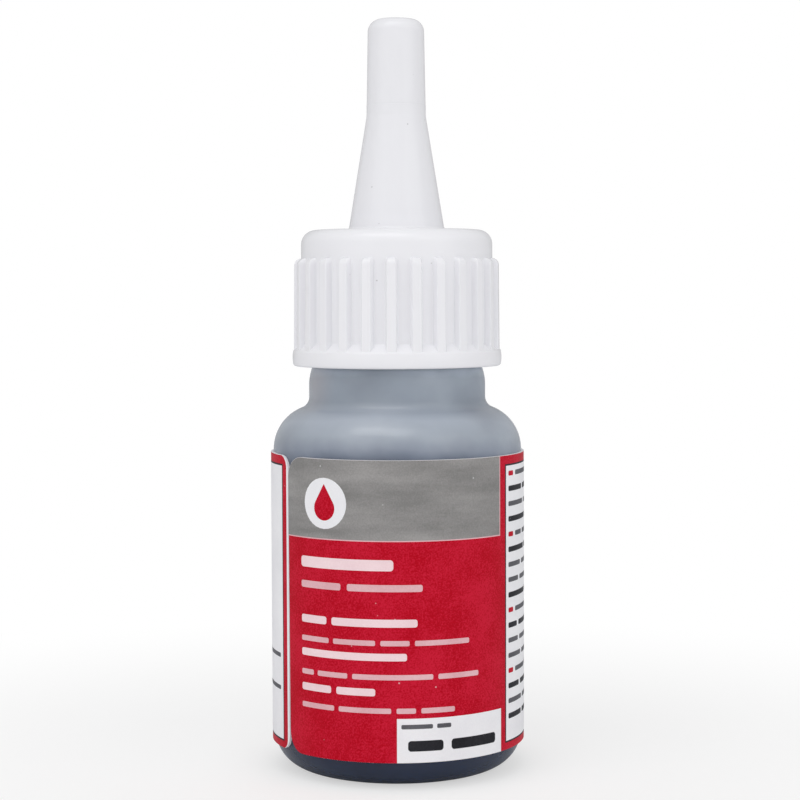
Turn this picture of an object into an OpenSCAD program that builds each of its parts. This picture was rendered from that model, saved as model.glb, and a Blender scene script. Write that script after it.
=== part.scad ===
// Small squeeze bottle of instant glue: a blown plastic bottle with a wrap-around label, a ribbed
// screw-on closure with a tapered spout, a seal ring between the two, and a slim push-on tip cap.
// Millimetres. The origin is the centre of the standing ring, Z runs up the axis, -Y is the front.

/* [Bottle] */
// Outside diameter of the straight wall
body_d = 29.3; // [27:0.1:33]
// Height of the top of the straight wall, where the shoulder starts
body_h = 37.65; // [30:0.05:50]
// Thickness of the blown wall
wall_t = 0.9; // [0.6:0.05:1.3]
// Radius of the heel between the base and the wall
heel_r = 4.3; // [2.5:0.1:5]
// Rise of the base's centre above the standing ring
push_up_h = 1.4; // [0.6:0.1:2.4]
// Width of the flat ring that the bottle stands on
foot_w = 1.35; // [0.8:0.05:2.5]
// Radius of the round shoulder, as a share of the step from the wall in to the collar
shoulder_share = 1.23; // [1:0.01:1.6]
// Radius of the hollow between the shoulder and the collar
hollow_r = 1.0; // [0.4:0.1:2]
// Height of the plain collar above the hollow
collar_h = 3.7; // [2:0.1:6]
// Step of the collar out from the neck, per side
collar_step = 1.27; // [0.9:0.01:1.6]
// Edge radius of the collar's top, as a share of the collar's step
collar_edge_share = 0.8; // [0.3:0.05:0.95]

/* [Neck] */
// Diameter of the neck at the root of the thread
neck_d = 18.3; // [16.5:0.1:20]
// Height of the neck from the collar to the mouth
neck_h = 14.4; // [11:0.1:18]
// Wall of the neck
neck_t = 1.4; // [1:0.05:2]
// Edge radius of the mouth
mouth_edge_r = 0.4; // [0.1:0.05:0.6]

/* [Seal ring] */
// Thickness of the seal ring
seal_t = 0.7; // [0.4:0.05:1.2]
// Clearance between the seal ring and the closure's skirt, per side
seal_clearance = 0.3; // [0.1:0.05:0.5]

/* [Closure] */
// Room round the neck for the thread, per side
thread_room = 1.05; // [0.9:0.05:1.4]
// Thickness of the skirt behind the grooves
skirt_t = 1.08; // [0.8:0.02:1.6]
// Thickness of the top panel
panel_t = 1.2; // [0.9:0.1:2]
// Radius of the closure's rounded top edge
top_edge_r = 1.9; // [0.8:0.1:2.2]
// Gap between the closure's rim and the collar
rim_gap = 0.25; // [0.15:0.05:0.8]
// Number of grip ribs
rib_count = 26; // [16:1:34]
// How far the ribs stand out from the skirt at their tops
rib_proud = 0.8; // [0.4:0.05:1.1]
// How much further the ribs stand out at the ring than at their tops
rib_lean = 0.09; // [0:0.01:0.3]
// Width of a rib, as a share of the rib spacing
rib_share = 0.43; // [0.32:0.01:0.55]
// Chamfer along the edges of a rib, as a share of the rib's width
rib_chamfer_share = 0.16; // [0.05:0.01:0.22]
// Place of the first rib, degrees round from the front
rib_phase_a = -2.8; // [-20:0.1:20]
// Distance from the top panel down to the tops of the ribs
rib_drop = 3.35; // [2.5:0.05:5]
// Height of the plain ring at the rim
ring_h = 2.1; // [1.2:0.1:3.5]
// How far the ring stands out from the feet of the ribs
ring_proud = 0.18; // [0.05:0.01:0.6]
// Edge radius of the ring
ring_edge_r = 0.3; // [0.1:0.05:0.4]

/* [Spout] */
// Diameter of the spout where it leaves the top panel
spout_base_d = 11.3; // [9.5:0.1:13.5]
// Height of the tapered spout, from the top panel to the land
spout_h = 13.25; // [9:0.05:20]
// Radius of the hollow at the spout's foot
spout_hollow_r = 0.5; // [0.2:0.1:1]
// Wall of the spout
spout_t = 1.1; // [0.8:0.1:1.4]
// Height of the straight land below the tip cap
land_h = 1.25; // [0.6:0.05:3]
// How far the land stands out from the tip cap's rim, per side
land_proud = 0.03; // [0:0.01:0.3]
// Diameter of the tip where it rises from the land
tip_base_d = 5.3; // [4.6:0.1:6.2]
// Diameter of the tip at its end
tip_end_d = 3.2; // [2.6:0.1:4]
// Height of the tip above the land
tip_h = 8.05; // [6:0.05:11]
// Diameter of the outlet in the tip
outlet_d = 1.2; // [1:0.1:1.6]
// Length of the straight outlet, as a share of the tip's height
outlet_share = 0.6; // [0.4:0.05:0.8]

/* [Tip cap] */
// Wall of the tip cap at its rim
cap_t = 0.65; // [0.5:0.05:1.2]
// Clearance between the tip cap and the tip, per side
cap_clearance = 0.15; // [0.1:0.01:0.3]
// Clearance over the end of the tip
cap_end_clearance = 0.3; // [0.1:0.05:0.8]
// Thickness of the tip cap's closed end
cap_end_t = 1.7; // [1.2:0.05:3]
// How much narrower the tip cap is at its top than at its rim, per side
cap_draft = 0.15; // [0:0.01:0.3]
// Radius of the tip cap's rounded top edge, as a share of its top radius
cap_edge_share = 0.56; // [0.2:0.01:0.75]
// Length of the sealing pin inside the tip cap
pin_h = 2.4; // [1:0.1:3.2]
// Clearance between the sealing pin and the outlet, per side
pin_clearance = 0.15; // [0.1:0.01:0.25]

/* [Label] */
// Thickness of the label
label_t = 0.33; // [0.1:0.01:0.6]
// Clearance between the label and the wall
label_clearance = 0.02; // [0.01:0.01:0.1]
// Height of the label's lower edge above the base
label_z = 3.3; // [3:0.05:10]
// Distance from the label's upper edge up to the shoulder
label_margin = 0.23; // [0:0.01:8]
// Gap between the label's two ends, along the wall
seam_w = 0.5; // [0.2:0.05:3]
// Place of the label's seam, degrees round from the front
seam_a = -57.4; // [-180:0.1:180]
// Corner radius of the label
label_corner_r = 1.5; // [0.5:0.1:4]

/* [Adhesive] */
// Distance from the adhesive's level up to the shoulder
headspace_h = 3.65; // [0.5:0.05:20]
// Clearance between the adhesive and the inside of the bottle
fill_clearance = 0.05; // [0.02:0.01:0.3]

/* [Hidden] */
// Flat steps in a quarter round
arc_steps = 10;
$fn = 128;

// How far a cut runs past the face it cuts
overrun = 1;
// How far joined shapes run into each other
embed = 0.3;
// Height of the slope inside the collar, as a share of the collar
slope_share = 0.4;

// Bottle radii
body_r = body_d / 2;
neck_r = neck_d / 2;
bore_r = neck_r - neck_t;
collar_r = neck_r + collar_step;
collar_edge_r = collar_step * collar_edge_share;

// Base: a shallow dome pushed up inside the standing ring
foot_r = body_r - heel_r - foot_w;
dome_r = (foot_r * foot_r + push_up_h * push_up_h) / (2 * push_up_h);
dome_c = [0, push_up_h - dome_r];

// Shoulder and hollow are arcs that meet at one angle
shoulder_r = (body_r - collar_r) * shoulder_share;
shoulder_c = [body_r - shoulder_r, body_h];
shoulder_a = acos((collar_r + hollow_r - shoulder_c[0]) / (shoulder_r + hollow_r));
hollow_c = [collar_r + hollow_r, body_h + (shoulder_r + hollow_r) * sin(shoulder_a)];

// Heights, each from the one below
collar_z = hollow_c[1] + collar_h;
rim_z = collar_z + rim_gap;
mouth_z = collar_z + neck_h;
seal_z = mouth_z + seal_t;
panel_z = seal_z + panel_t;
land_z = panel_z + spout_h;
tip_z = land_z + land_h;
outlet_z = tip_z + tip_h;
cap_hollow_z = outlet_z + cap_end_clearance;
cap_z = cap_hollow_z + cap_end_t;

// Closure radii
skirt_r = neck_r + thread_room;
groove_r = skirt_r + skirt_t;
rib_top_r = groove_r + rib_proud;
rib_foot_r = rib_top_r + rib_lean;
ring_r = rib_foot_r + ring_proud;
ring_z = rim_z + ring_h;
scoop_r = ring_r - ring_edge_r - groove_r;
rib_z = panel_z - rib_drop;
rib_w = 2 * PI * rib_top_r / rib_count * rib_share;
rib_chamfer = rib_w * rib_chamfer_share;

// Spout and tip radii
spout_r = spout_base_d / 2;
passage_r = spout_r - spout_t;
tip_r = tip_base_d / 2;
tip_end_r = tip_end_d / 2;
outlet_r = outlet_d / 2;
cap_rim_r = tip_r + cap_clearance + cap_t;
cap_top_r = cap_rim_r - cap_draft;
cap_edge_r = cap_top_r * cap_edge_share;
land_r = cap_rim_r + land_proud;
spout_a = atan((spout_r - land_r) / spout_h);
spout_c = [spout_r + spout_hollow_r * (1 - sin(spout_a)) / cos(spout_a), panel_z + spout_hollow_r];
pin_r = outlet_r - pin_clearance;

// Label
label_r = body_r + label_clearance;
label_top_z = body_h - label_margin;
front_a = -90;

// Points along an arc; start 1 leaves out the first, where it repeats the point before
function arc(c, r, a0, a1, start = 0) =
    [for (i = [start:arc_steps]) c + r * [cos(a0 + (a1 - a0) * i / arc_steps), sin(a0 + (a1 - a0) * i / arc_steps)]];

function reversed(points) = [for (i = [len(points) - 1:-1:0]) points[i]];

// Half outline of the base and heel, moved in from the outside by the inset
function base_points(inset) = concat(
    arc(dome_c, dome_r + inset, 90, asin((inset - dome_c[1]) / (dome_r + inset))),
    arc([body_r - heel_r, heel_r], heel_r - inset, -90, 0)
);

// Half outline of the shoulder and hollow, moved in by the inset
function shoulder_points(inset) = concat(
    arc(shoulder_c, shoulder_r - inset, 0, shoulder_a),
    arc(hollow_c, hollow_r + inset, 180 + shoulder_a, 180, 1)
);

// Blown bottle: pushed-up base, round heel and shoulder, collar, and a neck that the closure screws on
module bottle() {
    outside = concat(
        base_points(0),
        shoulder_points(0),
        arc([collar_r - collar_edge_r, collar_z - collar_edge_r], collar_edge_r, 0, 90),
        [[neck_r, collar_z]],
        arc([neck_r - mouth_edge_r, mouth_z - mouth_edge_r], mouth_edge_r, 0, 90),
        [[bore_r, mouth_z]]
    );
    inside = concat(
        base_points(wall_t),
        shoulder_points(wall_t),
        [[collar_r - wall_t, hollow_c[1] + collar_h * slope_share]],
        [[bore_r, collar_z - wall_t]]
    );
    color("#9298a3")
        rotate_extrude()
            polygon(concat(outside, reversed(inside)));
}

// Glue inside the bottle, up to its level
module adhesive() {
    inset = wall_t + fill_clearance;
    level_z = body_h - headspace_h;
    color("#15161c")
        rotate_extrude()
            polygon(concat(base_points(inset), [[body_r - inset, level_z], [0, level_z]]));
}

// Opening between the label's two ends, flared by the round of each corner
module seam_cut() {
    edge = seam_w / 2 + label_corner_r;
    side = concat(
        [[edge, label_top_z + overrun]],
        arc([edge, label_top_z - label_corner_r], label_corner_r, 90, 180),
        arc([edge, label_z + label_corner_r], label_corner_r, 180, 270),
        [[edge, label_z - overrun]]
    );
    rotate([90, 0, 90])
        linear_extrude(height = label_t + 2 * overrun, center = true)
            polygon(concat(side, [for (p = reversed(side)) [-p[0], p[1]]]));
}

// Label wrapped round the wall, with rounded corners where its two ends meet
module label() {
    color("#b81d2f")
        rotate([0, 0, front_a + seam_a])
            difference() {
                rotate_extrude()
                    translate([label_r, label_z])
                        square([label_t, label_top_z - label_z]);
                translate([label_r + label_t / 2, 0, 0])
                    seam_cut();
            }
}

// Flat foam ring pressed between the mouth and the closure's top panel
module seal_ring() {
    color("#e4e2da")
        rotate_extrude()
            translate([passage_r, mouth_z])
                square([skirt_r - seal_clearance - passage_r, seal_t]);
}

// One grip rib at angle zero: its side outline crossed with its plan outline
module rib() {
    root_r = groove_r - embed;
    foot_z = ring_z - embed;
    half_w = rib_w / 2;
    intersection() {
        rotate([90, 0, 0])
            linear_extrude(height = 2 * rib_w, center = true)
                polygon(concat(
                    [[root_r, foot_z], [rib_foot_r, foot_z]],
                    arc([rib_top_r - rib_proud, rib_z - rib_proud], rib_proud, 0, 90),
                    [[root_r, rib_z]]
                ));
        translate([0, 0, foot_z - overrun])
            linear_extrude(height = rib_z - foot_z + 2 * overrun)
                polygon([
                    [root_r - overrun, -half_w],
                    [rib_foot_r - rib_chamfer, -half_w],
                    [rib_foot_r + rib_chamfer, -half_w + 2 * rib_chamfer],
                    [rib_foot_r + rib_chamfer, half_w - 2 * rib_chamfer],
                    [rib_foot_r - rib_chamfer, half_w],
                    [root_r - overrun, half_w]
                ]);
    }
}

// Screw closure: ring at the rim, ribbed skirt, domed top, and a hollow spout that ends in a fine tip
module spout_closure() {
    outside = concat(
        [[skirt_r, rim_z]],
        arc([ring_r - ring_edge_r, rim_z + ring_edge_r], ring_edge_r, -90, 0),
        arc([ring_r - ring_edge_r, ring_z - ring_edge_r], ring_edge_r, 0, 90),
        arc([groove_r + scoop_r, ring_z + scoop_r], scoop_r, 270, 180, 1),
        arc([groove_r - top_edge_r, panel_z - top_edge_r], top_edge_r, 0, 90),
        arc(spout_c, spout_hollow_r, 270, 180 + spout_a),
        [[land_r, land_z], [land_r, tip_z], [tip_r, tip_z], [tip_end_r, outlet_z]]
    );
    inside = [
        [skirt_r, seal_z],
        [passage_r, seal_z],
        [land_r - spout_t, land_z],
        [outlet_r, outlet_z - tip_h * outlet_share],
        [outlet_r, outlet_z]
    ];
    color("#ecebee") {
        rotate_extrude()
            polygon(concat(outside, reversed(inside)));
        for (i = [0:rib_count - 1])
            rotate([0, 0, front_a + rib_phase_a + 360 * i / rib_count])
                rib();
    }
}

// Push-on cap over the tip, rounded at the top, with a pin inside that keeps the outlet clear
module tip_cap() {
    color("#e9e8eb")
        rotate_extrude()
            polygon(concat(
                [[tip_r + cap_clearance, tip_z], [cap_rim_r, tip_z]],
                arc([cap_top_r - cap_edge_r, cap_z - cap_edge_r], cap_edge_r, 0, 90),
                [[0, cap_z], [0, cap_hollow_z - pin_h], [pin_r, cap_hollow_z - pin_h]],
                [[pin_r, cap_hollow_z], [tip_end_r + cap_clearance, cap_hollow_z]]
            ));
}

bottle();
adhesive();
label();
seal_ring();
spout_closure();
tip_cap();
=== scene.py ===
import math

import bpy
import numpy as np
from mathutils import Matrix, Vector


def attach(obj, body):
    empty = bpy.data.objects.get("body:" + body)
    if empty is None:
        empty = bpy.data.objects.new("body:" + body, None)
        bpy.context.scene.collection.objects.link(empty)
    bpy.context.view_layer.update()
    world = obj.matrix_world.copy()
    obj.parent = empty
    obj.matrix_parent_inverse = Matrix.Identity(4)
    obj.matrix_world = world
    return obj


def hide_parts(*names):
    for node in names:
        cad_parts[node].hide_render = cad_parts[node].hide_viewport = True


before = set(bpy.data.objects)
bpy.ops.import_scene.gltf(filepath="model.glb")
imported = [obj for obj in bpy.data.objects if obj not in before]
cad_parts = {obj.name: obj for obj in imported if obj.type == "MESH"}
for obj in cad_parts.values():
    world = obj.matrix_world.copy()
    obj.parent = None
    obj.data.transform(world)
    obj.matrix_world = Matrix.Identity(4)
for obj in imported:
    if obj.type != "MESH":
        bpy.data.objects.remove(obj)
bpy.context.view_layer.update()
scene = bpy.context.scene
scene.view_settings.view_transform = "Standard"

# Camera. The bottle was photographed with a short telephoto lens from a quarter of a metre in front, a
# little above its middle and tipped down by three degrees. The square frame leans by a fifth of a degree.
frame_px = 800
focal_px = 2056.5
axis_offset_px = 2.8
sensor_mm = 36.0
camera_at_m = (0, -0.2434, 0.057)
tip_down_deg = 3.21
lean_deg = -0.2
camera_data = bpy.data.cameras.new("camera")
camera_data.sensor_width = sensor_mm
camera_data.lens = focal_px * sensor_mm / frame_px
camera_data.clip_start = 0.01
camera = bpy.data.objects.new("camera", camera_data)
scene.collection.objects.link(camera)
camera.matrix_world = (
    Matrix.Translation(camera_at_m)
    @ Matrix.Rotation(-math.atan(axis_offset_px / focal_px), 4, "Z")
    @ Matrix.Rotation(math.radians(90 - tip_down_deg), 4, "X")
    @ Matrix.Rotation(math.radians(lean_deg), 4, "Z")
)
scene.camera = camera


# Studio. A white paper sweep under and behind the bottle, an even white surround, and four soft boxes: one
# above the camera, one on each side and a weak one in front. The floor keeps the bottle's shadow.
def linear(hex_colour):
    """sRGB hex to linear RGBA: c / 12.92 below 0.04045, else ((c + 0.055) / 1.055) to the power 2.4."""
    c = np.array([int(hex_colour[i : i + 2], 16) for i in (1, 3, 5)]) / 255
    c = np.where(c <= 0.04045, c / 12.92, ((c + 0.055) / 1.055) ** 2.4)
    return (*c.tolist(), 1.0)


def add_node(tree, kind, inputs=None, **settings):
    """Adds a node; a value that is a socket is linked to that input, and any other value is set on it."""
    made = tree.nodes.new(kind)
    for name, value in settings.items():
        setattr(made, name, value)
    for name, value in (inputs or {}).items():
        if isinstance(value, bpy.types.NodeSocket):
            tree.links.new(value, made.inputs[name])
        else:
            made.inputs[name].default_value = value
    return made


def new_material(name):
    """An empty node material and its tree, ready for a surface."""
    material = bpy.data.materials.new(name)
    material.use_nodes = True
    material.node_tree.nodes.clear()
    return material, material.node_tree


def make_mesh(name, vertices_mm, faces, material, sharp_deg=35):
    """A mesh object at the origin, from points in millimetres. Edges sharper than sharp_deg stay sharp."""
    mesh = bpy.data.meshes.new(name)
    mesh.from_pydata((np.asarray(vertices_mm) * 0.001).tolist(), [], faces)
    mesh.materials.append(material)
    mesh.shade_smooth()
    mesh.set_sharp_from_angle(angle=math.radians(sharp_deg))
    made = bpy.data.objects.new(name, mesh)
    scene.collection.objects.link(made)
    return made


# White paper, matt: it shows the shadow near the bottle and fades to plain white further out. In a
# reflection it is a pale grey.
floor_half_mm = 2500
floor_drop_mm = 0.02
fade_mm = (30, 110)
fade_white = (0.55, 1.0)
paper_white, mirrored_white = "#f7f7f7", "#d6d8dc"
paper_sweep, tree = new_material("white_paper_sweep")
place = add_node(tree, "ShaderNodeTexCoord")
away = add_node(tree, "ShaderNodeVectorMath", {0: place.outputs["Object"]}, operation="LENGTH")
ray = add_node(tree, "ShaderNodeLightPath")
far = add_node(tree, "ShaderNodeMapRange", {
    "Value": away.outputs["Value"],
    "From Min": fade_mm[0] / 1000,
    "From Max": fade_mm[1] / 1000,
    "To Min": fade_white[0],
    "To Max": fade_white[1],
}, interpolation_type="SMOOTHSTEP")
seen = add_node(tree, "ShaderNodeMath", {
    0: ray.outputs["Is Camera Ray"], 1: ray.outputs["Is Transmission Ray"],
}, operation="MAXIMUM")
white = add_node(tree, "ShaderNodeMath", {0: far.outputs[0], 1: seen.outputs[0]}, operation="MULTIPLY")
shade = add_node(tree, "ShaderNodeMix", {
    "Factor": ray.outputs["Is Glossy Ray"], "A": linear(paper_white), "B": linear(mirrored_white),
}, data_type="RGBA")
paper = add_node(tree, "ShaderNodeBsdfPrincipled", {
    "Base Color": shade.outputs["Result"],
    "Roughness": 0.9,
    "Specular IOR Level": 0.1,
})
backdrop = add_node(tree, "ShaderNodeEmission", {"Color": linear("#ffffff"), "Strength": 1.0})
sweep = add_node(tree, "ShaderNodeMixShader", {
    0: white.outputs[0], 1: paper.outputs[0], 2: backdrop.outputs[0],
})
add_node(tree, "ShaderNodeOutputMaterial", {"Surface": sweep.outputs[0]})
floor_xy = np.array([[-1, -1], [1, -1], [1, 1], [-1, 1]]) * floor_half_mm
floor_points = np.column_stack([floor_xy, np.full(4, -floor_drop_mm)])
floor = make_mesh("studio_floor", floor_points, [(0, 1, 2, 3)], paper_sweep)

# The surround gives even light. Seen directly it is white; in reflections the room in front is dim, and the
# sweep behind and the ceiling are brighter. The two ranges are on the direction's Y and Z.
surround_strength = 0.65
room_strength, sweep_strength, ceiling_strength = 0.3, 0.43, 0.6
sweep_range, ceiling_range = (-0.3, 0.5), (0.2, 0.75)
world = bpy.data.worlds.new("white_surround")
world.use_nodes = True
world.node_tree.nodes.clear()
tree = world.node_tree
ray = add_node(tree, "ShaderNodeLightPath")
towards = add_node(tree, "ShaderNodeTexCoord")
up = add_node(tree, "ShaderNodeSeparateXYZ", {0: towards.outputs["Generated"]})
walls = add_node(tree, "ShaderNodeMapRange", {
    "Value": up.outputs["Y"],
    "From Min": sweep_range[0],
    "From Max": sweep_range[1],
    "To Min": room_strength,
    "To Max": sweep_strength,
}, interpolation_type="SMOOTHSTEP")
ceiling = add_node(tree, "ShaderNodeMapRange", {
    "Value": up.outputs["Z"],
    "From Min": ceiling_range[0],
    "From Max": ceiling_range[1],
    "To Min": walls.outputs[0],
    "To Max": ceiling_strength,
}, interpolation_type="SMOOTHSTEP")
even = add_node(tree, "ShaderNodeBackground", {"Color": linear("#ffffff"), "Strength": surround_strength})
mirrored = add_node(tree, "ShaderNodeBackground", {
    "Color": linear("#ffffff"), "Strength": ceiling.outputs[0],
})
backdrop = add_node(tree, "ShaderNodeBackground", {"Color": linear("#ffffff"), "Strength": 1.0})
lit = add_node(tree, "ShaderNodeMixShader", {
    0: ray.outputs["Is Glossy Ray"], 1: even.outputs[0], 2: mirrored.outputs[0],
})
seen = add_node(tree, "ShaderNodeMath", {
    0: ray.outputs["Is Camera Ray"], 1: ray.outputs["Is Transmission Ray"],
}, operation="MAXIMUM")
surround = add_node(tree, "ShaderNodeMixShader", {
    0: seen.outputs[0], 1: lit.outputs[0], 2: backdrop.outputs[0],
})
add_node(tree, "ShaderNodeOutputWorld", {"Surface": surround.outputs[0]})
scene.world = world

# Each soft box: name, place and size in metres, and power in watts. All point at the bottle's middle.
aim_m = Vector((0, 0, 0.045))
soft_boxes = (
    ("overhead", (-0.12, -0.30, 0.70), (0.6, 0.3), 1.0),
    ("left", (-0.6, -0.5, 0.35), (0.7, 0.7), 0.76),
    ("right", (0.6, -0.5, 0.35), (0.7, 0.7), 1.02),
    ("front", (0.0, -0.9, 0.30), (0.7, 0.7), 0.30),
)
for side, stand_m, (wide_m, deep_m), watts in soft_boxes:
    lamp_data = bpy.data.lights.new("soft_box_" + side, "AREA")
    lamp_data.energy = watts
    lamp_data.shape = "RECTANGLE"
    lamp_data.size = wide_m
    lamp_data.size_y = deep_m
    lamp = bpy.data.objects.new("soft_box_" + side, lamp_data)
    lamp.location = stand_m
    lamp.rotation_euler = (aim_m - Vector(stand_m)).to_track_quat("-Z", "Y").to_euler()
    scene.collection.objects.link(lamp)


# Bottle. Blown in one piece from natural polyethylene, with a pushed-up base, a round heel and shoulder, a
# plain collar and a neck. The milky wall is thin enough for the black glue behind it to darken it.
def arc(centre, radius, start_deg, end_deg, steps=14):
    """Points at even angles on a circle: centre + radius * (cos a, sin a)."""
    a = np.radians(np.linspace(start_deg, end_deg, steps + 1))
    return np.column_stack([centre[0] + radius * np.cos(a), centre[1] + radius * np.sin(a)])


def join(*runs):
    """One outline from runs of (radius, height) points, without a point that repeats the one before it."""
    points = np.vstack([np.atleast_2d(run) for run in runs]).astype(float)
    keep = np.r_[True, np.abs(np.diff(points, axis=0)).max(1) > 1e-6]
    return points[keep]


def lathe(outline, turn, swell=0.0):
    """Surface of revolution: outline point i, as (radius, height), is carried round the axis to every angle
    j of turn at (r cos a, r sin a, z), with r = radius + swell[i, j]. An outline that starts and ends on the
    axis closes in two poles, and any other is joined from its end back to its start."""
    columns = len(turn)
    radius = outline[:, :1] + swell * np.ones((1, columns))
    z = outline[:, 1:] * np.ones((1, columns))
    grid = np.stack([radius * np.cos(turn), radius * np.sin(turn), z], -1)
    poles = abs(outline[0, 0]) < 1e-9 and abs(outline[-1, 0]) < 1e-9
    rings = grid[1:-1] if poles else grid
    index = np.arange(rings.shape[0] * columns).reshape(-1, columns)
    here, above = (index[:-1], index[1:]) if poles else (index, np.roll(index, -1, 0))
    quads = np.stack([here, np.roll(here, -1, 1), np.roll(above, -1, 1), above], -1).reshape(-1, 4)
    points, faces = rings.reshape(-1, 3), quads.tolist()
    if poles:
        low, high = len(points), len(points) + 1
        points = np.vstack([points, grid[0, :1], grid[-1, :1]])
        first, last = index[0], index[-1]
        faces += np.column_stack([np.full(columns, low), np.roll(first, -1), first]).tolist()
        faces += np.column_stack([last, np.roll(last, -1), np.full(columns, high)]).tolist()
    return points, faces


body_r, wall_t, heel_r, shoulder_z = 14.65, 0.9, 4.15, 37.65
push_up, foot_r, shoulder_round = 1.4, 9.0, 1.23
collar_r, collar_curve_r, collar_curve_z, collar_edge, collar_z = 10.42, 6.0, 45.2, 0.1, 47.42
neck_hollow_r, inner_collar_h = 1.4, 1.48
neck_r, neck_foot, bore_r, mouth_z, mouth_edge_r = 9.15, 0.2, 7.75, 61.63, 0.4
dome_r = (foot_r**2 + push_up**2) / (2 * push_up)
shoulder_r = shoulder_round * (body_r - collar_r)
shoulder_cos = (collar_r + neck_hollow_r - body_r + shoulder_r) / (shoulder_r + neck_hollow_r)
shoulder_deg = math.degrees(math.acos(shoulder_cos))
hollow_z = shoulder_z + (shoulder_r + neck_hollow_r) * math.sin(math.radians(shoulder_deg))
collar_deg = math.degrees(math.asin((collar_z - collar_edge - collar_curve_z) / collar_curve_r))
collar_top_r = collar_r - collar_curve_r * (1 - math.cos(math.radians(collar_deg))) - collar_edge


def wall_run(inset):
    """Outline of base, heel, shoulder and neck hollow, moved in by inset: every arc keeps its centre."""
    rim_deg = math.degrees(math.asin((inset - push_up + dome_r) / (dome_r + inset)))
    return join(
        arc((0, push_up - dome_r), dome_r + inset, 90, rim_deg, 10),
        arc((body_r - heel_r, heel_r), heel_r - inset, -90, 0, 20),
        arc((body_r - shoulder_r, shoulder_z), shoulder_r - inset, 0, shoulder_deg, 24),
        arc((collar_r + neck_hollow_r, hollow_z), neck_hollow_r + inset, 180 + shoulder_deg, 180),
    )


outside = join(
    wall_run(0),
    arc((collar_r - collar_curve_r, collar_curve_z), collar_curve_r, 0, collar_deg),
    (collar_top_r, collar_z),
    (neck_r + neck_foot, collar_z),
    (neck_r, collar_z + neck_foot),
    arc((neck_r - mouth_edge_r, mouth_z - mouth_edge_r), mouth_edge_r, 0, 90, 8),
    (bore_r, mouth_z),
)
inside = join(
    wall_run(wall_t),
    (collar_r - wall_t, hollow_z + inner_collar_h),
    (bore_r, collar_z - wall_t),
)
bottle_outline = join(outside, inside[::-1])
bottle_outline[[0, -1], 0] = 0

# Natural high-density polyethylene, blown: satin skin, milky, tinted by the glue inside. It is near black up
# to the glue's level, then lighter through the shoulder to the neck, with painted light and shade laid on: a
# painted highlight band on the shoulder, a darker hollow, a pale collar top, and sides lighter than the
# front.
# The glue's edge is uneven, patches darken or lighten the wall, some of them painted shade and light, and
# the wall is faintly cloudy.
polyethylene, tree = new_material("natural_polyethylene")
place = add_node(tree, "ShaderNodeTexCoord")
at = add_node(tree, "ShaderNodeSeparateXYZ", {0: place.outputs["Object"]})
# Painted light: on the front the tint is taken from 1.1 mm lower, so the sides, where light comes through
# the milky wall at the outline, stay lighter than the front.
outline_light_mm = 1.1
outline_light_end_y = -0.25 * body_r
outline_light_shift = add_node(tree, "ShaderNodeMapRange", {
    "Value": at.outputs["Y"],
    "From Min": -body_r / 1000,
    "From Max": outline_light_end_y / 1000,
    "To Min": -outline_light_mm / 1000,
    "To Max": 0.0,
})
cloud_mm = 6.0
cloud = add_node(tree, "ShaderNodeTexNoise", {
    "Vector": place.outputs["Object"], "Scale": 1000 / cloud_mm, "Detail": 3.0, "Roughness": 0.5,
})
uneven_mm = 0.3
uneven = add_node(tree, "ShaderNodeMapRange", {
    "Value": cloud.outputs["Fac"],
    "From Min": 0.3,
    "From Max": 0.7,
    "To Min": -uneven_mm / 1000,
    "To Max": uneven_mm / 1000,
})
level = add_node(tree, "ShaderNodeMath", {0: at.outputs["Z"], 1: outline_light_shift.outputs[0]}, operation="ADD")
level = add_node(tree, "ShaderNodeMath", {0: level.outputs[0], 1: uneven.outputs[0]}, operation="ADD")
tint_low_z, tint_high_z = 32.0, 48.0
share = add_node(tree, "ShaderNodeMapRange", {
    "Value": level.outputs[0], "From Min": tint_low_z / 1000, "From Max": tint_high_z / 1000,
})
tint = add_node(tree, "ShaderNodeValToRGB", {0: share.outputs[0]})
# Tints by height: the dark below 36 mm is the glue behind the wall. Painted light and shade: the light band
# at 39 to 41 mm is the shoulder's highlight, the darker tints near 43 mm shade the hollow, and the pale
# tints from 46.8 mm up light the collar against the shade under the closure's ring.
tints = (
    (33.5, "#1a263e"), (35.6, "#525967"), (36.7, "#747c8a"), (37.6, "#8f96a2"), (39.2, "#a5acb5"),
    (40.9, "#abb2bc"), (42.2, "#a0a7b1"), (43.2, "#99a1ab"), (45.0, "#9ea6b0"), (46.0, "#a2aab4"),
    (46.8, "#b9c2cd"), (47.3, "#cad3de"),
)
tint.color_ramp.elements[0].color = linear(tints[0][1])
tint.color_ramp.elements[1].color = linear(tints[-1][1])
for z, colour in tints:
    tint.color_ramp.elements.new((z - tint_low_z) / (tint_high_z - tint_low_z)).color = linear(colour)
milky = add_node(tree, "ShaderNodeMix", {
    "Factor": cloud.outputs["Fac"], "A": linear("#a4a6aa"), "B": linear("#d0d2d5"),
}, data_type="RGBA")
wall = add_node(tree, "ShaderNodeMix", {
    "Factor": 1.0, "A": tint.outputs[0], "B": milky.outputs["Result"],
}, data_type="RGBA", blend_type="SOFT_LIGHT")
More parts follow.
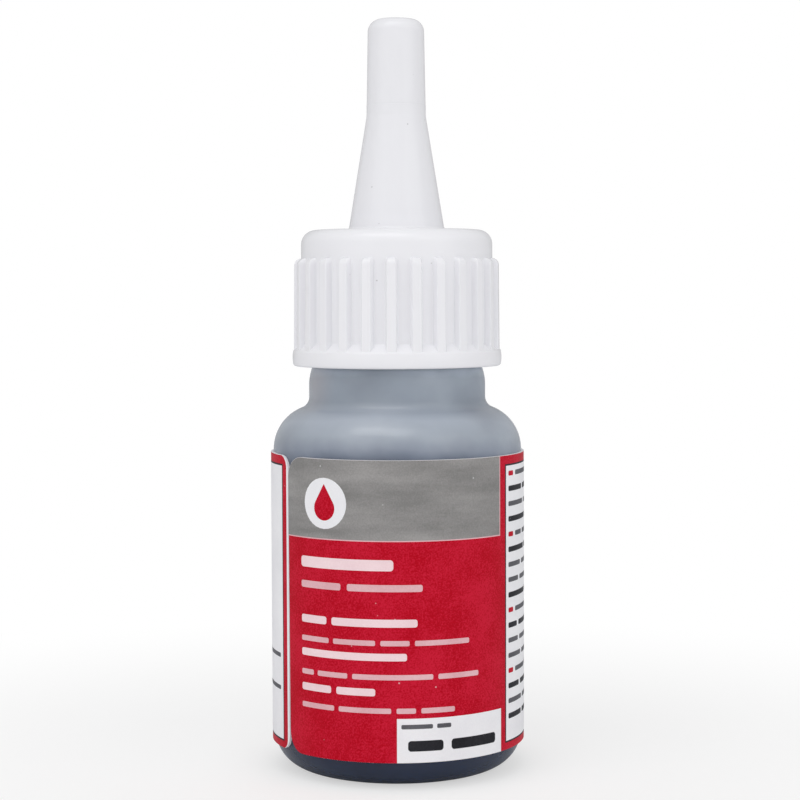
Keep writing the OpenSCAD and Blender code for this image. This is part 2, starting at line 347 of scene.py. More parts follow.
# Each patch, some of them painted shade and light: its middle and its reach in millimetres, how strong it
# is, and its colour.
patches_and_painted_light = (
    # Painted shade on the right of the shoulder, away from the light on the left.
    ((10.5, -8.0, 43.2), 5.5, 0.26, "#293142"),
    # A darker patch on the neck, left of the front.
    ((-4.0, -9.5, 46.0), 5.0, 0.17, "#293142"),
    # Painted shade low on the front right of the shoulder.
    ((7.0, -12.5, 37.6), 5.0, 0.13, "#293142"),
    # A dark blotch on the left of the shoulder.
    ((-12.5, -6.0, 39.0), 5.0, 0.12, "#332d33"),
    # Painted light on the left of the neck, where light comes through its milky wall at the outline.
    ((-9.5, -4.0, 45.6), 5.0, 0.45, "#b5aeb0"),
    # Painted highlight: a broad light patch on the front of the shoulder.
    ((-2.8, -12.0, 40.9), 5.5, 0.28, "#d3d9e1"),
)
for spot_mm, reach_mm, weight, colour in patches_and_painted_light:
    off = add_node(tree, "ShaderNodeVectorMath", {
        0: place.outputs["Object"], 1: Vector(spot_mm) / 1000,
    }, operation="DISTANCE")
    patch_share = add_node(tree, "ShaderNodeMapRange", {
        "Value": off.outputs["Value"],
        "From Min": 0.0,
        "From Max": reach_mm / 1000,
        "To Min": weight,
        "To Max": 0.0,
    }, interpolation_type="SMOOTHSTEP")
    wall = add_node(tree, "ShaderNodeMix", {
        "Factor": patch_share.outputs[0], "A": wall.outputs["Result"], "B": linear(colour),
    }, data_type="RGBA")
# Painted light: the top tenth of a millimetre of the collar turns pale against the shade under the closure's
# ring.
collar_top = add_node(tree, "ShaderNodeMapRange", {
    "Value": at.outputs["Z"], "From Min": (collar_z - collar_edge) / 1000, "From Max": collar_z / 1000,
}, interpolation_type="SMOOTHSTEP")
painted_light_collar = add_node(tree, "ShaderNodeMix", {
    "Factor": collar_top.outputs[0], "A": wall.outputs["Result"], "B": linear("#eef0f3"),
}, data_type="RGBA")
# The mould's blasted skin is finer than this; it is drawn coarse enough to show.
skin_mm = 0.35
skin = add_node(tree, "ShaderNodeTexNoise", {
    "Vector": place.outputs["Object"], "Scale": 1000 / skin_mm, "Detail": 3.0,
})
satin = add_node(tree, "ShaderNodeBump", {
    "Height": skin.outputs["Fac"], "Strength": 0.06, "Distance": 0.00003,
})
plastic = add_node(tree, "ShaderNodeBsdfPrincipled", {
    "Base Color": painted_light_collar.outputs["Result"],
    "Roughness": 0.22,
    "IOR": 1.54,
    "Subsurface Weight": 0.5,
    "Subsurface Radius": (1.0, 1.0, 1.0),
    "Subsurface Scale": 0.001,
    "Normal": satin.outputs[0],
})
add_node(tree, "ShaderNodeOutputMaterial", {"Surface": plastic.outputs[0]})

bottle_turn = np.linspace(0, 2 * np.pi, 192, endpoint=False)
bottle = make_mesh("bottle_blown_shell", *lathe(bottle_outline, bottle_turn), polyethylene)
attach(bottle, "bottle")
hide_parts("bottle")


# Neck thread. A right-hand ridge of one and a half turns, moulded with the neck, that fades out at both
# ends. The closure hides it until it is unscrewed.
def thread_ridge(root_r, crest_r, low_z, turns, pitch, root_w, crest_w, fade_deg=40):
    """A rounded section swept up a helix: at angle a its middle is at height low_z + pitch * a / 2 pi. The
    section's points lie between root_r and crest_r, on a root that is sunk a little into the wall, and its
    depth fades over fade_deg at each end by the smooth step f f (3 - 2 f)."""
    sunk, least, per_turn = 0.12, 0.02, 96
    turn = np.linspace(0, 2 * np.pi * turns, int(per_turn * turns))
    fade = np.clip(np.minimum(turn, turn[-1] - turn) / math.radians(fade_deg), 0, 1)
    depth = least + (1 - least) * fade * fade * (3 - 2 * fade)
    rise = np.array([-sunk, 0.0, 0.55, 0.9, 1.0])
    half_w = np.array([root_w, root_w, 0.5 * (root_w + crest_w), crest_w, 0.7 * crest_w]) / 2
    out = np.r_[rise, rise[::-1]]
    across = np.r_[-half_w, half_w[::-1]]
    if crest_r < root_r:
        across = across[::-1]
    radius = root_r + (crest_r - root_r) * np.where(out < 0, out, out * depth[:, None])
    z = low_z + pitch * turn[:, None] / (2 * np.pi) + across * np.ones((len(turn), 1))
    points = np.stack([radius * np.cos(turn)[:, None], radius * np.sin(turn)[:, None], z], -1)
    count = points.shape[1]
    index = np.arange(points.shape[0] * count).reshape(-1, count)
    quads = np.stack([index[:-1], index[1:], np.roll(index[1:], -1, 1), np.roll(index[:-1], -1, 1)], -1)
    ends = [index[0].tolist(), index[-1][::-1].tolist()]
    return points.reshape(-1, 3), quads.reshape(-1, 4).tolist() + ends


thread_pitch, thread_turns = 3.175, 1.5
neck_thread_z, neck_thread_r, neck_thread_w = 55.2, 9.9, (1.7, 0.8)
neck_thread = make_mesh(
    "neck_thread",
    *thread_ridge(neck_r, neck_thread_r, neck_thread_z, thread_turns, thread_pitch, *neck_thread_w),
    polyethylene,
)
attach(neck_thread, "bottle")

# Adhesive. Instant glue, poured in to just under the shoulder. It lies behind the wall, and its level
# shows only as the change in the wall's tint.
# Black glue, a thick liquid: glossy and almost black, with faint swirls where it was stirred.
black_glue, tree = new_material("black_instant_glue")
place = add_node(tree, "ShaderNodeTexCoord")
swirl_mm = 4.0
swirl = add_node(tree, "ShaderNodeTexNoise", {
    "Vector": place.outputs["Object"], "Scale": 1000 / swirl_mm,
})
depth = add_node(tree, "ShaderNodeMix", {
    "Factor": swirl.outputs["Fac"], "A": linear("#0b0c10"), "B": linear("#15171d"),
}, data_type="RGBA")
liquid = add_node(tree, "ShaderNodeBsdfPrincipled", {
    "Base Color": depth.outputs["Result"],
    "Roughness": 0.12,
    "IOR": 1.45,
})
add_node(tree, "ShaderNodeOutputMaterial", {"Surface": liquid.outputs[0]})
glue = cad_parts["adhesive"]
glue.data.materials.clear()
glue.data.materials.append(black_glue)


# Label. A thick coated-paper label wrapped once round the wall and glued to it. Its corners are rounded, its
# two ends meet left of the front, not quite parallel, and the cut edges show the white paper.
def rounded(left, right, low, high, corners=0.0, step=0.6):
    """A rectangle with round corners on the unrolled label, as a two-row grid of (along, height). corners
    holds the radii as ((low left, high left), (low right, high right)). A column at distance d from an end
    is shortened at a corner of radius r by r - sqrt(r r - (r - d)(r - d)) where d is less than r."""
    corners = np.broadcast_to(corners, (2, 2))
    reach = corners.max(1)
    close = 1 - np.cos(np.radians(np.linspace(0, 90, 9)))
    count = max(2, int((right - left - reach.sum()) / step) + 2)
    middle = np.linspace(left + reach[0], right - reach[1], count)
    along = np.concatenate([left + reach[0] * close, middle, right - reach[1] * close])
    along = np.unique(np.round(along, 6))
    inset = np.stack([along - left, right - along])[:, None, :]
    radius = corners[:, :, None]
    cut = (radius - np.sqrt(radius**2 - np.clip(radius - inset, 0, radius) ** 2)).sum(0)
    return np.stack([along, along]), np.stack([low + cut[0], high - cut[1]])


def wrapped_slab(along, height, inner_r, outer_r):
    """A closed slab bent round the bottle: (along, height) goes to angle along / label_r from the front, at
    outer_r for the face and inner_r for the back, and the rim joins the two. Within skew_reach of the left
    end, along first grows by up to skew towards the lower edge."""
    rows, columns = along.shape
    near = np.clip(1 - (along - label_left) / skew_reach, 0, 1)
    angle = (along + skew * near * (label_high - height) / (label_high - label_low)) / label_r
    layers = [
        np.stack([r * np.sin(angle), -r * np.cos(angle), height], -1).reshape(-1, 3)
        for r in (outer_r, inner_r)
    ]
    face = np.arange(rows * columns).reshape(rows, columns)
    front = np.stack([face[:-1, :-1], face[:-1, 1:], face[1:, 1:], face[1:, :-1]], -1).reshape(-1, 4)
    back = front[:, ::-1] + rows * columns
    rim = np.concatenate([face[0, :-1], face[:-1, -1], face[-1, :0:-1], face[:0:-1, 0]])
    after = np.roll(rim, -1)
    side = np.stack([after, rim, rim + rows * columns, after + rows * columns], -1)
    return np.vstack(layers), np.vstack([front, back, side])


def coated_ink(name, light, dark, cloud_mm=(4.5, 4.5, 4.5), grain=0.5):
    """Ink on coated label paper: a satin varnish over soft clouds and fine grain between two shades, a few
    pinholes that show the paper, and paper tooth."""
    material, tree = new_material(name)
    place = add_node(tree, "ShaderNodeTexCoord")
    stretched = add_node(tree, "ShaderNodeMapping", {
        "Vector": place.outputs["Object"], "Scale": tuple(1000 / mm for mm in cloud_mm),
    })
    cloud = add_node(tree, "ShaderNodeTexNoise", {
        "Vector": stretched.outputs[0], "Scale": 1.0, "Detail": 3.0, "Roughness": 0.55,
    })
    # Print grain and paper tooth are finer than this; both are drawn coarse enough to show.
    grain_mm, tooth_mm = 0.18, 0.6
    speck = add_node(tree, "ShaderNodeTexNoise", {
        "Vector": place.outputs["Object"], "Scale": 1000 / grain_mm, "Detail": 1.0,
    })
    both = add_node(tree, "ShaderNodeMath", {
        0: speck.outputs["Fac"], 1: grain, 2: cloud.outputs["Fac"],
    }, operation="MULTIPLY_ADD")
    middle, spread = 0.5 + 0.5 * grain, 0.22
    uneven = add_node(tree, "ShaderNodeMapRange", {
        "Value": both.outputs[0], "From Min": middle - spread, "From Max": middle + spread,
    })
    shade = add_node(tree, "ShaderNodeMix", {
        "Factor": uneven.outputs[0], "A": linear(dark), "B": linear(light),
    }, data_type="RGBA")
    pinhole_core_mm, pinhole_r_mm, pinhole_step_mm, pinhole_strength = 0.048, 0.12, 2.5, 0.5
    pinhole = add_node(tree, "ShaderNodeTexVoronoi", {
        "Vector": place.outputs["Object"], "Scale": 1000 / pinhole_step_mm,
    })
    bare = add_node(tree, "ShaderNodeMapRange", {
        "Value": pinhole.outputs["Distance"],
        "From Min": pinhole_core_mm / pinhole_step_mm,
        "From Max": pinhole_r_mm / pinhole_step_mm,
        "To Min": pinhole_strength,
        "To Max": 0.0,
    })
    flecked = add_node(tree, "ShaderNodeMix", {
        "Factor": bare.outputs[0], "A": shade.outputs["Result"], "B": linear("#f1f1f5"),
    }, data_type="RGBA")
    tooth = add_node(tree, "ShaderNodeTexNoise", {
        "Vector": place.outputs["Object"], "Scale": 1000 / tooth_mm,
    })
    surface = add_node(tree, "ShaderNodeBump", {
        "Height": tooth.outputs["Fac"], "Strength": 0.05, "Distance": 0.00005,
    })
    varnish = add_node(tree, "ShaderNodeBsdfPrincipled", {
        "Base Color": flecked.outputs["Result"],
        "Roughness": 0.42,
        "IOR": 1.5,
        "Specular IOR Level": 0.07,
        "Normal": surface.outputs[0],
    })
    add_node(tree, "ShaderNodeOutputMaterial", {"Surface": varnish.outputs[0]})
    return material


label_r = 15.0
label_back_r, paper_face_r = 14.67, 14.965
label_low, label_high = 3.3, 37.42
label_corners = np.array([[2.5, 2.5], [1.5, 1.8]])
seam_deg, seam_half = -57.1, 0.015
seam_along = math.radians(seam_deg) * label_r
skew, skew_reach = 0.22, 8.0
label_left = seam_along + seam_half
label_right = seam_along + 2 * math.pi * label_r - seam_half

# Coated paper under varnish: a clean, faintly cool white with a dull satin face.
label_paper = coated_ink("coated_label_paper", "#f2f2f5", "#ebebef")
label = make_mesh(
    "label_paper_wrap",
    *wrapped_slab(
        *rounded(label_left, label_right, label_low, label_high, label_corners),
        label_back_r,
        paper_face_r,
    ),
    label_paper,
)
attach(label, "bottle")
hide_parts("label")


# Label print. Flat inks laid over one another on the paper: a red field all over, a grey band with a pale
# keyline across the top of the front, white panels with a fine dark line round them, and rows of plain bars.
# Each ink is a thin slab that starts a little way down in the layer below it.
def printed(name, patches, inner_r, outer_r, material):
    """Several patches of one ink as one mesh of separate wrapped slabs."""
    points, faces, start = [], [], 0
    for along, height in patches:
        p, f = wrapped_slab(along, height, inner_r, outer_r)
        points.append(p)
        faces.append(f + start)
        start += len(p)
    made = make_mesh(name, np.vstack(points), np.vstack(faces).tolist(), material)
    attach(made, "bottle")


# Radii of the inks' faces, how deep each ink starts in the layer below, a fine line's thickness, margins.
red_r, panel_r, bar_r = 14.975, 14.985, 14.995
deep, shallow, line_t = 0.005, 0.003, 0.004
edge, end_margin, foot_margin = 0.03, 0.43, 0.005

# Red ink: a strong, slightly uneven red, grainy close up.
red_grain = 1.5
red_ink = coated_ink("red_label_ink", "#ca1b36", "#b4011c", grain=red_grain)
field_ends = (label_left + edge, label_right - end_margin)
field_corners = label_corners - [[edge], [end_margin]]
printed("label_red_field", [
    rounded(*field_ends, label_low + foot_margin, label_high - edge, field_corners),
], paper_face_r - deep, red_r, red_ink)

# Pale red ink: a screen of red dots, seen as a dusty pink.
# Grey ink: a mid grey, in long level streaks.
band_right, band_low, keyline = 13.35, 28.42, 0.13
band_corners = ((0, label_corners[0, 1] - edge), (0, 0))
band_streak_mm, band_grain = (9.0, 9.0, 2.0), 0.4
pale_red_ink = coated_ink("pale_red_label_ink", "#e6bcc2", "#dca9b0")
printed("label_band_keyline", [
    rounded(label_left + edge, band_right + keyline, band_low - keyline, label_high - edge, band_corners),
], red_r - deep, red_r + line_t, pale_red_ink)
grey_ink = coated_ink("grey_label_ink", "#9e9c9b", "#81807f", band_streak_mm, band_grain)
printed("label_grey_band", [
    rounded(label_left + edge, band_right, band_low, label_high - edge, band_corners),
], red_r - shallow, panel_r, grey_ink)

# Black ink: a soft black that lets a little of the paper through.
panel_low, panel_high, panel_line = 4.3, 36.2, 0.2
side_panel = (14.72, 44.0)
back_panel = (46.0, label_right - 1.5)
front_box = (-0.16, 13.62, label_low + foot_margin, 8.33)
black_ink = coated_ink("black_label_ink", "#313136", "#242428")
printed("label_panel_lines", [
    rounded(left - panel_line, right + panel_line, panel_low - panel_line, panel_high + panel_line)
    for left, right in (side_panel, back_panel)
], red_r - deep, red_r + line_t, black_ink)
printed("label_white_panels", [
    rounded(*side_panel, panel_low, panel_high),
    rounded(*back_panel, panel_low, panel_high),
    rounded(*front_box),
], red_r - shallow, panel_r, label_paper)


def bar_row(left, low, tall, lengths, gap):
    """A row of bars with round ends, one for each length: each starts gap after the end of the last."""
    round_share = 0.3
    lengths = np.asarray(lengths)
    starts = left + np.cumsum(lengths + gap) - lengths - gap
    ends = zip(starts, starts + lengths)
    return [rounded(x0, x1, low, low + tall, round_share * tall) for x0, x1 in ends]


# Each row on the front: height of its foot, height of its bars, their lengths, and the gap between them.
# Faint red ink: the lightest screen of red dots, seen as white with a blush.
front_left = -12.4
heavy_rows = (
    (25.0, 1.25, (11.9,), 0.8),
    (18.65, 0.9, (3.8, 10.1), 0.7),
    (14.85, 0.85, (13.4,), 0.7),
    (10.85, 0.85, (4.4, 4.7), 0.7),
)
fine_rows = (
    (22.65, 0.8, (5.7, 8.7), 0.8),
    (16.55, 0.6, (4.1, 5.1, 3.3, 6.6), 0.6),
    (12.7, 0.6, (1.9, 4.0, 9.3, 5.2), 0.6),
    (8.9, 0.6, (4.8, 6.2, 2.2, 4.0), 0.6),
)
faint_red_ink = coated_ink("faint_red_label_ink", "#f7dfe3", "#efd3d8")
for name, rows, ink in (("heavy", heavy_rows, faint_red_ink), ("fine", fine_rows, pale_red_ink)):
    bars = [bar for row in rows for bar in bar_row(front_left, *row)]
    printed("label_%s_bars" % name, bars, red_r - shallow, panel_r, ink)

# The side panel has seventeen rows, of which four start with a short red bar and seven are darker. The back
# panel has ten rows on its left and two at its right.
# Thin black ink: the black printed light, seen as a dark grey.
row_top, row_step, row_count, back_rows = 35.3, 1.762, 17, 10
lead_rows, dark_rows = (0, 4, 9, 13), (1, 3, 5, 8, 10, 14, 16)
lead_length, row_gap = 1.2, 0.6
dark_tall, soft_tall, end_tall = 0.62, 0.56, 0.5
side_margin, side_ragged, back_margin, back_width = 0.55, 1.4, 0.7, 20
end_rows = ((14.05, (4.7, 3.1, 5.6, 4.4)), (10.25, (3.9, 5.2, 2.7, 4.8)))
box_dark_row = (front_box[0] + 1.25, 4.6, 1.2, (4.1, 6.3), 1.0)
box_soft_row = (front_box[0] + 0.5, 7.15, 0.5, (3.6, 1.7), 0.5)
bar_shortest, bar_longest, bars_most = 2.2, 6.4, 9
fill = np.random.default_rng(7).uniform(bar_shortest, bar_longest, (row_count, bars_most))


def filled_row(left, right, middle, tall, lengths):
    """A row of bars that stops short of the right: a bar stays if its end and gap come before that."""
    reach = np.cumsum(lengths + row_gap)
    return bar_row(left, middle - tall / 2, tall, lengths[reach < right - left], row_gap)


dark_bars, soft_bars, red_bars = [], [], []
for i in range(row_count):
    middle = row_top - row_step * i
    tall = dark_tall if i in dark_rows else soft_tall
    first = lead_length if i in lead_rows else fill[i, 0]
    row = filled_row(
        side_panel[0] + side_margin, side_panel[1] - side_ragged, middle, tall, np.r_[first, fill[i, 1:]]
    )
    if i in lead_rows:
        red_bars.append(row.pop(0))
    (dark_bars if i in dark_rows else soft_bars).extend(row)
    if i < back_rows:
        left, right = back_panel[0] + back_margin, back_panel[0] + back_width
        soft_bars += filled_row(left, right, middle, soft_tall, fill[i, ::-1])
dark_bars += bar_row(*box_dark_row)
soft_bars += bar_row(*box_soft_row)
for middle, lengths in end_rows:
    width = sum(lengths) + row_gap * (len(lengths) - 1)
    left = back_panel[1] - back_margin - width
    soft_bars += bar_row(left, middle - end_tall / 2, end_tall, lengths, row_gap)
thin_black_ink = coated_ink("thin_black_label_ink", "#66666b", "#55555a")
printed("label_dark_bars", dark_bars, panel_r - shallow, bar_r, black_ink)
printed("label_soft_bars", soft_bars, panel_r - shallow, bar_r, thin_black_ink)
printed("label_lead_bars", red_bars, panel_r - shallow, bar_r, red_ink)


# Emblem. A plain white disc with a red drop, the usual sign for a liquid, at the left of the grey band. It
# is printed in the same white and red as the rest of the label.
def drop_outline(centre, radius, point_z, count=25):
    """A drop as a two-row grid: the lower edge is the circle's, and the upper edge runs up from the circle
    to the point along the two tangents. Where both edges meet they are kept a hair apart."""
    hair = 1e-4
    f = np.linspace(0, np.pi, count)
    along = centre[0] - radius * np.cos(f)
    low = centre[1] - radius * np.sin(f)
    rise = point_z - centre[1]
    touch = radius * math.sqrt(1 - (radius / rise) ** 2)
    slope = math.sqrt(rise**2 - radius**2) / radius
    off = np.abs(along - centre[0])
    arch = centre[1] + np.sqrt(np.maximum(radius**2 - off**2, 0))
    high = np.where(off < touch, point_z - slope * off, arch)
    meet = np.abs(low - high) < 1e-6
    return np.stack([along, along]), np.stack([low - hair * meet, high + hair * meet])


disc_x, disc_z, disc_r = -8.83, 32.4, 2.9
drop_r, drop_down, drop_up = 1.4, 0.55, 2.2
# Corners a hair smaller than the disc's radius keep its two ends from closing to a point.
disc_corner = disc_r * 0.999
printed("label_emblem_disc", [
    rounded(disc_x - disc_r, disc_x + disc_r, disc_z - disc_r, disc_z + disc_r, disc_corner),
], panel_r - shallow, panel_r + line_t, label_paper)
printed("label_emblem_drop", [
    drop_outline((disc_x, disc_z - drop_down), drop_r, disc_z + drop_up),
], panel_r, bar_r, red_ink)

# Seal ring. A flat ring punched from a sheet of closed-cell polyethylene foam, pressed between the bottle's
# mouth and the closure's top panel.
# Closed-cell foam, cut: a dull off-white, pitted with small cells.
foam, tree = new_material("closed_cell_foam")
place = add_node(tree, "ShaderNodeTexCoord")
cell_mm = 0.25
cell = add_node(tree, "ShaderNodeTexVoronoi", {"Vector": place.outputs["Object"], "Scale": 1000 / cell_mm})
pitted = add_node(tree, "ShaderNodeBump", {
    "Height": cell.outputs["Distance"], "Strength": 0.3, "Distance": 0.0001,
})
shade = add_node(tree, "ShaderNodeMix", {
    "Factor": cell.outputs["Distance"], "A": linear("#e9e6dd"), "B": linear("#d8d4c8"),
}, data_type="RGBA")
spongy = add_node(tree, "ShaderNodeBsdfPrincipled", {
    "Base Color": shade.outputs["Result"],
    "Roughness": 0.75,
    "IOR": 1.5,
    "Normal": pitted.outputs[0],
})
add_node(tree, "ShaderNodeOutputMaterial", {"Surface": spongy.outputs[0]})
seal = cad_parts["seal_ring"]
seal.data.materials.clear()
seal.data.materials.append(foam)

# Closure. Injection-moulded white polypropylene, screwed on the neck: a plain ring at the rim, a skirt of 26
# round-nosed grip ribs, a slanted scoop at the foot of each groove, a rounded top edge, and a tapered spout
# with a straight land and a fine tip.
rim_z, rim_chamfer, ring_r, ring_edge_r = 47.48, 0.3, 12.35, 0.3
ring_curve_r, ring_lean_deg = 4.25, 10
lip_r, scoop_r, scoop_deg = 0.25, 0.25, 45
skirt_r, groove_r, panel_z, top_edge_r = 10.2, 11.28, 63.43, 1.7
seal_top_z = 62.33
rib_count, rib_phase_deg, rib_top_z, rib_clear = 26, -2.95, 60.1, 0.05
rib_top_r, rib_foot_r, rib_nose = 12.08, 12.17, 0.8
rib_flat, rib_side, rib_widen, nose_narrow = 0.46, 0.36, 0.05, 0.55
spout_r, spout_hollow_r, spout_t = 5.65, 0.5, 1.1
land_r, land_z, land_soft, land_rise = 3.48, 76.78, 0.02, 0.12
tip_z, tip_r, tip_end_r, tip_edge_r, tip_draft_deg = 78.03, 2.65, 1.6, 0.2, 8
outlet_r, outlet_z, outlet_h = 0.6, 86.08, 4.83
small_edge_r = 0.02
# A row of points this far from a small edge keeps the shading of the long wall beside it straight.
hold = 0.1
ring_lean, scoop_lean = math.radians(ring_lean_deg), math.radians(scoop_deg)
ring_in, lip_in = ring_curve_r - ring_edge_r, ring_curve_r - lip_r
ring_c = (ring_r - ring_curve_r, rim_z + ring_edge_r + ring_in * math.sin(ring_lean))
ring_edge_c = (ring_c[0] + ring_in * math.cos(ring_lean), rim_z + ring_edge_r)
lip_c = (ring_c[0] + lip_in * math.cos(ring_lean), ring_c[1] + lip_in * math.sin(ring_lean))
lip = arc(lip_c, lip_r, ring_lean_deg, scoop_deg, 8)
scoop_run = lip[-1, 0] - groove_r - scoop_r * (1 - math.cos(scoop_lean))
scoop_z = lip[-1, 1] + scoop_run / math.tan(scoop_lean) + scoop_r * math.sin(scoop_lean)
scoop = arc((groove_r + scoop_r, scoop_z), scoop_r, 180 + scoop_deg, 180, 8)
taper = math.atan((spout_r - land_r) / (land_z - panel_z))
spout_c = (spout_r + spout_hollow_r * (1 - math.sin(taper)) / math.cos(taper), panel_z + spout_hollow_r)
nose_z = rib_top_z - rib_nose * (1 - np.cos(np.radians(np.linspace(90, 0, 13))))
groove_z = np.r_[np.linspace(scoop_z, nose_z[0], 6), nose_z, rib_top_z + rib_clear]
closure_outline = join(
    (skirt_r + rim_chamfer, rim_z),
    arc(ring_edge_c, ring_edge_r, -90, -ring_lean_deg, 8),
    arc(ring_c, ring_curve_r, -ring_lean_deg, ring_lean_deg, 8),
    lip,
    np.linspace(lip[-1], scoop[0], 14),
    scoop,
    np.column_stack([np.full(len(groove_z), groove_r), groove_z]),
    arc((groove_r - top_edge_r, panel_z - top_edge_r), top_edge_r, 0, 90, 16),
    arc(spout_c, spout_hollow_r, 270, 180 + math.degrees(taper), 8),
    (land_r + land_soft, land_z - land_soft / math.tan(taper)),
    (land_r, land_z + land_rise),
    (land_r, tip_z - hold),
    arc((land_r - small_edge_r, tip_z - small_edge_r), small_edge_r, 0, 90, 4),
    (tip_r, tip_z),
    arc((tip_end_r - tip_edge_r, outlet_z - tip_edge_r), tip_edge_r, tip_draft_deg, 90, 6),
    (outlet_r, outlet_z),
    (outlet_r, outlet_z - outlet_h),
    (land_r - spout_t, land_z),
    (spout_r - spout_t, seal_top_z),
    (skirt_r, seal_top_z),
    (skirt_r, rim_z + rim_chamfer),
)

# Within one rib spacing the angles lie close together on the rib's sides, and far apart in the groove and on
# the crest.
rib_step = 2 * math.pi / rib_count
rib_half_mm = rib_step * rib_top_r / 2
side_mm = np.array([0.2, 0.34, 0.40, 0.45, 0.50, 0.55, 0.60, 0.65, 0.70, 0.76, 1.1])
across_mm = np.r_[-rib_half_mm, -side_mm[::-1], 0, side_mm]
closure_turn = (np.arange(rib_count)[:, None] * rib_step + across_mm / rib_top_r).ravel()
closure_turn = closure_turn + math.radians(rib_phase_deg - 90)
across = np.tile(np.abs(across_mm), rib_count)


def rib_swell(outline):
    """How far the ribs stand out of the skirt. At a drop d below the rib's top, as a share of its nose, the
    crest is the quarter round sqrt(1 - (1 - d)(1 - d)), and below the nose a line that leans out towards
    the ring. Across the rib it falls off by the smooth step x x (3 - 2 x) from rib_flat over rib_side, both
    narrower at the nose. The rib shows only where it stands out of the skirt and of the scoop."""
    radius, z = outline[:, :1], outline[:, 1:]
    drop = np.clip((rib_top_z - z) / rib_nose, 0, 1)
    round_nose = np.sqrt(1 - (1 - drop) ** 2)
    lean = np.clip((rib_top_z - z) / (rib_top_z - lip_c[1]), 0, 1)
    crest = groove_r + (rib_top_r - groove_r + (rib_foot_r - rib_top_r) * lean) * round_nose
    outer = (radius >= groove_r - 1e-6) & (z >= lip_c[1]) & (z < rib_top_z)
    narrow = nose_narrow + (1 - nose_narrow) * round_nose
    x = np.clip((across / narrow - rib_flat * (1 + rib_widen * lean)) / rib_side, 0, 1)
    rib = groove_r + (crest - groove_r) * (1 - x * x * (3 - 2 * x))
    return np.where(outer, np.maximum(rib - radius, 0), 0)


# White polypropylene, moulded: bright satin skin with faint flow clouds and a few dark specks of dust. The
# spout and the tip cap are toned a shade greyer: painted shade where they catch more of the light from
# above.
polypropylene, tree = new_material("white_polypropylene")
place = add_node(tree, "ShaderNodeTexCoord")
flow_mm = 9.0
flow = add_node(tree, "ShaderNodeTexNoise", {
    "Vector": place.outputs["Object"], "Scale": 1000 / flow_mm, "Detail": 2.0,
})
clouded = add_node(tree, "ShaderNodeMix", {
    "Factor": flow.outputs["Fac"], "A": linear("#eeeef2"), "B": linear("#f1f1f5"),
}, data_type="RGBA")
# Painted shade: above the top panel the white turns a shade greyer.
upper_shade_rise = 2.5
at = add_node(tree, "ShaderNodeSeparateXYZ", {0: place.outputs["Object"]})
upper_shade = add_node(tree, "ShaderNodeMapRange", {
    "Value": at.outputs["Z"], "From Min": panel_z / 1000, "From Max": (panel_z + upper_shade_rise) / 1000,
}, interpolation_type="SMOOTHSTEP")
shade = add_node(tree, "ShaderNodeMix", {
    "Factor": upper_shade.outputs[0], "A": clouded.outputs["Result"], "B": linear("#ececf0"),
}, data_type="RGBA")
speck_core_mm, speck_r_mm, speck_step_mm, speck_strength = 0.044, 0.11, 3.2, 0.4
speck = add_node(tree, "ShaderNodeTexVoronoi", {
    "Vector": place.outputs["Object"], "Scale": 1000 / speck_step_mm,
})
dusty = add_node(tree, "ShaderNodeMapRange", {
    "Value": speck.outputs["Distance"],
    "From Min": speck_core_mm / speck_step_mm,
    "From Max": speck_r_mm / speck_step_mm,
    "To Min": speck_strength,
    "To Max": 0.0,
})
specked = add_node(tree, "ShaderNodeMix", {
    "Factor": dusty.outputs[0], "A": shade.outputs["Result"], "B": linear("#5d5a57"),
}, data_type="RGBA")
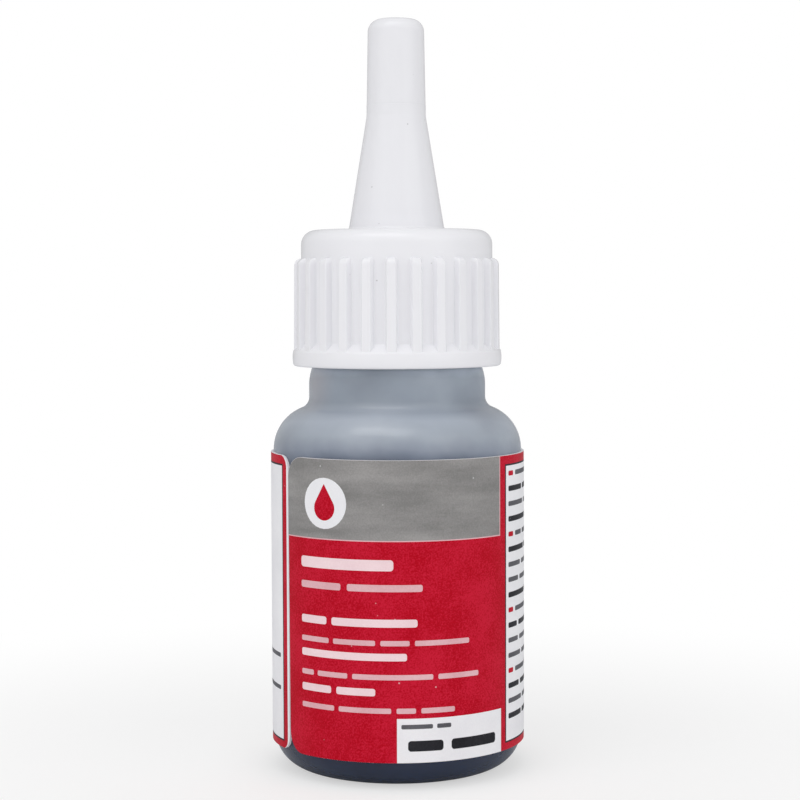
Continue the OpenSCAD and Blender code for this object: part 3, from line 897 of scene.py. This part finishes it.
# The mould's polish marks are finer than this; they are drawn coarse enough to show.
skin_mm = 0.5
skin = add_node(tree, "ShaderNodeTexNoise", {
    "Vector": place.outputs["Object"], "Scale": 1000 / skin_mm, "Detail": 2.0,
})
satin = add_node(tree, "ShaderNodeBump", {
    "Height": skin.outputs["Fac"], "Strength": 0.05, "Distance": 0.00004,
})
plastic = add_node(tree, "ShaderNodeBsdfPrincipled", {
    "Base Color": specked.outputs["Result"],
    "Roughness": 0.24,
    "IOR": 1.49,
    "Normal": satin.outputs[0],
})
add_node(tree, "ShaderNodeOutputMaterial", {"Surface": plastic.outputs[0]})

closure_surface = lathe(closure_outline, closure_turn, rib_swell(closure_outline))
closure = make_mesh("closure_moulding", *closure_surface, polypropylene)
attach(closure, "closure")
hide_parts("spout_closure")

# Closure thread. The matching ridge moulded inside the skirt. It lies half a pitch below the neck's, so that
# the two slide past each other as the closure is unscrewed.
inner_thread_z, inner_thread_r, inner_thread_w = neck_thread_z - thread_pitch / 2, 9.45, (1.3, 0.6)
closure_thread = make_mesh(
    "closure_thread",
    *thread_ridge(skirt_r, inner_thread_r, inner_thread_z, thread_turns, thread_pitch, *inner_thread_w),
    polypropylene,
)
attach(closure_thread, "closure")

# Tip cap. A slim cap moulded in the same white plastic and pushed over the spout's tip, down to the land. It
# has a rounded end, a little draft, and a pin inside that keeps the outlet from gumming up.
cap_rim_r, cap_top_r, cap_z, cap_edge_r = 3.46, 3.31, 88.08, 1.5
cap_bore_r, cap_bore_end_r, cap_bore_z, cap_bore_chamfer = 2.80, 1.75, 86.38, 0.08
pin_r, pin_z, pin_edge_r = 0.45, 83.98, 0.15
# The draft over the height of the row of points above the rim.
hold_draft = 0.001
cap_outline = join(
    (0, pin_z),
    arc((pin_r - pin_edge_r, pin_z + pin_edge_r), pin_edge_r, -90, 0, 4),
    (pin_r, cap_bore_z),
    (cap_bore_end_r, cap_bore_z),
    (cap_bore_r, tip_z + cap_bore_chamfer),
    (cap_bore_r + cap_bore_chamfer, tip_z),
    arc((cap_rim_r - small_edge_r, tip_z + small_edge_r), small_edge_r, -90, 0, 4),
    (cap_rim_r - hold_draft, tip_z + hold),
    arc((cap_top_r - cap_edge_r, cap_z - cap_edge_r), cap_edge_r, 0, 90, 18),
    (0, cap_z),
)
cap_turn = np.linspace(0, 2 * np.pi, 128, endpoint=False)
tip_cap = make_mesh("tip_cap_moulding", *lathe(cap_outline, cap_turn), polypropylene)
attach(tip_cap, "tip_cap")
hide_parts("tip_cap")
